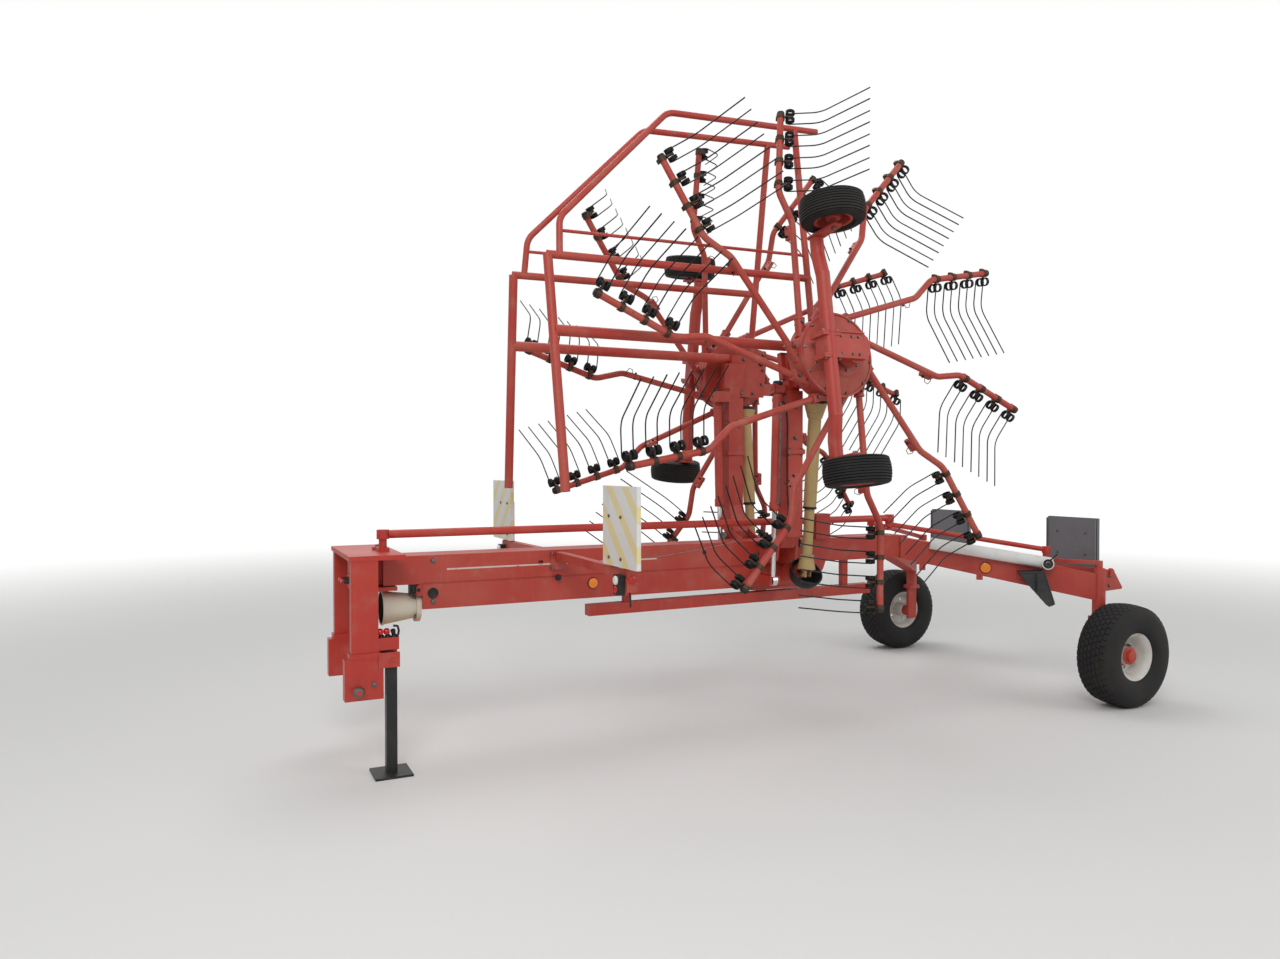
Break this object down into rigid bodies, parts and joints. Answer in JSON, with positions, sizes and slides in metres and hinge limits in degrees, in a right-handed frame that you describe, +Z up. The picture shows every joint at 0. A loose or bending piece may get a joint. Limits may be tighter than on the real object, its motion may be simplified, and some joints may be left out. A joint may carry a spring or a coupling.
{
  "type": "rotary rake",
  "caption": "Trailed twin-rotor hay rake folded upright for the road, with steered rear wheels, tubular crop guards and a parking stand.",
  "frame": {"origin": "on the ground, below the middle of the machine's length and width", "axes": "+X forward to the headstock, +Y to the machine's left, +Z up"},
  "size_m": [5.4399, 2.6522, 4.0237],
  "materials": {
    "red_paint": "satin",
    "fresh_red_paint": "gloss",
    "black_paint": "satin",
    "tyre": "matte",
    "rim_paint": "satin",
    "shaft_guard": "matte",
    "cone_guard": "matte",
    "bare_steel": "satin",
    "chrome_rod": "polished",
    "tine_steel": "satin",
    "board_white": "satin",
    "board_grey": "satin",
    "white_plastic": "gloss",
    "dark_plastic": "matte"
  },
  "bodies": {
    "chassis": {"main_beam": "red_paint", "rear_frame": "red_paint", "rear_board_carriers": "red_paint", "rear_boards": "board_grey", "front_board_carriers": "red_paint", "front_boards": "board_white", "central_gearbox": "red_paint", "lower_tube": "red_paint", "input_guard": "cone_guard", "pivot_brackets": "red_paint", "storage_tube": "white_plastic", "wheel_chock": "dark_plastic"},
    "input": {"input_shaft": "bare_steel"},
    "headstock": {"headstock": "fresh_red_paint"},
    "stand": {"parking_stand": "black_paint"},
    "steer_rod": {"steering_rod": "fresh_red_paint"},
    "steer_lever": {"steering_lever": "red_paint"},
    "track_left": {"track_tube_left": "fresh_red_paint"},
    "knuckle_left": {"knuckle_left": "red_paint"},
    "road_wheel_left": {"road_rim_left": "rim_paint", "road_tyre_left": "tyre"},
    "lift_left": {"lift_arm_left": "red_paint"},
    "carriage_left": {"carriage_left": "red_paint", "undercarriage_left": "red_paint", "guard_left": "red_paint"},
    "rotor_left": {"rotor_left": "red_paint", "tines_left": "tine_steel"},
    "gauge_inner_left": {"gauge_wheel_inner_left": "tyre"},
    "gauge_outer_left": {"gauge_wheel_outer_left": "tyre"},
    "barrel_left": {"lift_barrel_left": "red_paint"},
    "rod_left": {"lift_rod_left": "chrome_rod"},
    "shaft_low_left": {"shaft_lower_left": "shaft_guard"},
    "shaft_high_left": {"shaft_upper_left": "shaft_guard"},
    "track_right": {"track_tube_right": "fresh_red_paint"},
    "knuckle_right": {"knuckle_right": "red_paint"},
    "road_wheel_right": {"road_rim_right": "rim_paint", "road_tyre_right": "tyre"},
    "lift_right": {"lift_arm_right": "red_paint"},
    "carriage_right": {"carriage_right": "red_paint", "undercarriage_right": "red_paint", "guard_right": "red_paint"},
    "rotor_right": {"rotor_right": "red_paint", "tines_right": "tine_steel"},
    "gauge_inner_right": {"gauge_wheel_inner_right": "tyre"},
    "gauge_outer_right": {"gauge_wheel_outer_right": "tyre"},
    "barrel_right": {"lift_barrel_right": "red_paint"},
    "rod_right": {"lift_rod_right": "chrome_rod"},
    "shaft_low_right": {"shaft_lower_right": "shaft_guard"},
    "shaft_high_right": {"shaft_upper_right": "shaft_guard"}
  },
  "joints": [
    {"name": "input_spin", "type": "hinge", "parent": "chassis", "child": "input", "pos_m": [2.335, 0, 0.852], "axis": [1, 0, 0], "continuous": true},
    {"name": "headstock_yaw", "type": "hinge", "parent": "chassis", "child": "headstock", "pos_m": [2.475, 0, 1.07], "axis": [0, 0, 1], "range_deg": [-50, 50]},
    {"name": "stand_fold", "type": "hinge", "parent": "headstock", "child": "stand", "pos_m": [2.475, 0.33, 0.625], "axis": [0, 1, 0], "range_deg": [0, 90]},
    {"name": "steer_rod_slide", "type": "slide", "parent": "chassis", "child": "steer_rod", "axis": [1, 0, 0], "range_m": [-0.09, 0.09]},
    {"name": "steer_lever_yaw", "type": "hinge", "parent": "chassis", "child": "steer_lever", "pos_m": [-1.185, 0, 1.2], "axis": [0, 0, 1], "range_deg": [-52, 52]},
    {"name": "track_swivel_left", "type": "hinge", "parent": "steer_lever", "child": "track_left", "pos_m": [-1.185, 0.1, 1.235], "axis": [0, 0, 1], "range_deg": [-50, 50]},
    {"name": "knuckle_steer_left", "type": "hinge", "parent": "chassis", "child": "knuckle_left", "pos_m": [-2.365, 0.945, 0.75], "axis": [0, 0, 1], "range_deg": [-26, 26]},
    {"name": "road_wheel_spin_left", "type": "hinge", "parent": "knuckle_left", "child": "road_wheel_left", "pos_m": [-2.365, 1.14, 0.355], "axis": [0, 1, 0], "continuous": true},
    {"name": "fold_left", "type": "hinge", "parent": "chassis", "child": "lift_left", "pos_m": [-0.114, 0.281, 1.16], "axis": [-1, 0, 0], "range_deg": [0, 98.5]},
    {"name": "extend_left", "type": "slide", "parent": "lift_left", "child": "carriage_left", "axis": [0, 0, 1], "range_m": [0, 0.38]},
    {"name": "rotor_spin_left", "type": "hinge", "parent": "carriage_left", "child": "rotor_left", "pos_m": [-0.245, 0.60107, 2.3605], "axis": [0, -0.989, -0.1478], "continuous": true},
    {"name": "gauge_inner_spin_left", "type": "hinge", "parent": "carriage_left", "child": "gauge_inner_left", "pos_m": [-0.045, 1.11943, 1.63211], "axis": [0, -0.1478, 0.989], "continuous": true},
    {"name": "gauge_outer_spin_left", "type": "hinge", "parent": "carriage_left", "child": "gauge_outer_left", "pos_m": [-0.045, 0.88382, 3.2086], "axis": [0, -0.1478, 0.989], "continuous": true},
    {"name": "cylinder_swivel_left", "type": "hinge", "parent": "lift_left", "child": "barrel_left", "pos_m": [0.002, 0.381, 2.17], "axis": [-1, 0, 0], "range_deg": [-12.52, 0]},
    {"name": "cylinder_stroke_left", "type": "slide", "parent": "barrel_left", "child": "rod_left", "axis": [0, -0.0397, -0.9992], "range_m": [-0.3334, 0]},
    {"name": "shaft_swivel_left", "type": "hinge", "parent": "chassis", "child": "shaft_low_left", "pos_m": [-0.265, 0.33, 0.95], "axis": [-1, 0, 0], "range_deg": [0, 89.73]},
    {"name": "shaft_stroke_left", "type": "slide", "parent": "shaft_low_left", "child": "shaft_high_left", "axis": [0, 0.0897, 0.996], "range_m": [0, 0.0872]},
    {"name": "track_swivel_right", "type": "hinge", "parent": "steer_lever", "child": "track_right", "pos_m": [-1.185, -0.1, 1.235], "axis": [0, 0, 1], "range_deg": [-50, 50]},
    {"name": "knuckle_steer_right", "type": "hinge", "parent": "chassis", "child": "knuckle_right", "pos_m": [-2.365, -0.945, 0.75], "axis": [0, 0, 1], "range_deg": [-26, 26]},
    {"name": "road_wheel_spin_right", "type": "hinge", "parent": "knuckle_right", "child": "road_wheel_right", "pos_m": [-2.365, -1.14, 0.355], "axis": [0, 1, 0], "continuous": true},
    {"name": "fold_right", "type": "hinge", "parent": "chassis", "child": "lift_right", "pos_m": [-0.114, -0.281, 1.16], "axis": [1, 0, 0], "range_deg": [0, 98.5]},
    {"name": "extend_right", "type": "slide", "parent": "lift_right", "child": "carriage_right", "axis": [0, 0, 1], "range_m": [0, 0.38]},
    {"name": "rotor_spin_right", "type": "hinge", "parent": "carriage_right", "child": "rotor_right", "pos_m": [-0.245, -0.60107, 2.3605], "axis": [0, 0.989, -0.1478], "continuous": true},
    {"name": "gauge_inner_spin_right", "type": "hinge", "parent": "carriage_right", "child": "gauge_inner_right", "pos_m": [-0.045, -1.11943, 1.63211], "axis": [0, 0.1478, 0.989], "continuous": true},
    {"name": "gauge_outer_spin_right", "type": "hinge", "parent": "carriage_right", "child": "gauge_outer_right", "pos_m": [-0.045, -0.88382, 3.2086], "axis": [0, 0.1478, 0.989], "continuous": true},
    {"name": "cylinder_swivel_right", "type": "hinge", "parent": "lift_right", "child": "barrel_right", "pos_m": [0.002, -0.381, 2.17], "axis": [1, 0, 0], "range_deg": [-12.52, 0]},
    {"name": "cylinder_stroke_right", "type": "slide", "parent": "barrel_right", "child": "rod_right", "axis": [0, 0.0397, -0.9992], "range_m": [-0.3334, 0]},
    {"name": "shaft_swivel_right", "type": "hinge", "parent": "chassis", "child": "shaft_low_right", "pos_m": [-0.265, -0.33, 0.95], "axis": [1, 0, 0], "range_deg": [0, 89.73]},
    {"name": "shaft_stroke_right", "type": "slide", "parent": "shaft_low_right", "child": "shaft_high_right", "axis": [0, -0.0897, 0.996], "range_m": [0, 0.0872]}
  ],
  "couplings": [
    {"joint": "steer_rod_slide", "follows": "headstock_yaw", "m_per_rad": -0.1},
    {"joint": "steer_lever_yaw", "follows": "headstock_yaw", "ratio": 1},
    {"joint": "track_swivel_left", "follows": "headstock_yaw", "ratio": -0.932},
    {"joint": "knuckle_steer_left", "follows": "headstock_yaw", "ratio": -0.431},
    {"joint": "extend_left", "follows": "fold_left", "m_per_rad": 0.221},
    {"joint": "cylinder_swivel_left", "follows": "fold_left", "ratio": -0.11049},
    {"joint": "cylinder_stroke_left", "follows": "fold_left", "m_per_rad": -0.19013},
    {"joint": "shaft_swivel_left", "follows": "fold_left", "ratio": 0.90198},
    {"joint": "shaft_stroke_left", "follows": "fold_left", "m_per_rad": 0.04972},
    {"joint": "track_swivel_right", "follows": "headstock_yaw", "ratio": -0.932},
    {"joint": "knuckle_steer_right", "follows": "headstock_yaw", "ratio": -0.431},
    {"joint": "extend_right", "follows": "fold_right", "m_per_rad": 0.221},
    {"joint": "cylinder_swivel_right", "follows": "fold_right", "ratio": -0.11049},
    {"joint": "cylinder_stroke_right", "follows": "fold_right", "m_per_rad": -0.19013},
    {"joint": "shaft_swivel_right", "follows": "fold_right", "ratio": 0.90198},
    {"joint": "shaft_stroke_right", "follows": "fold_right", "m_per_rad": 0.04972}
  ]
}
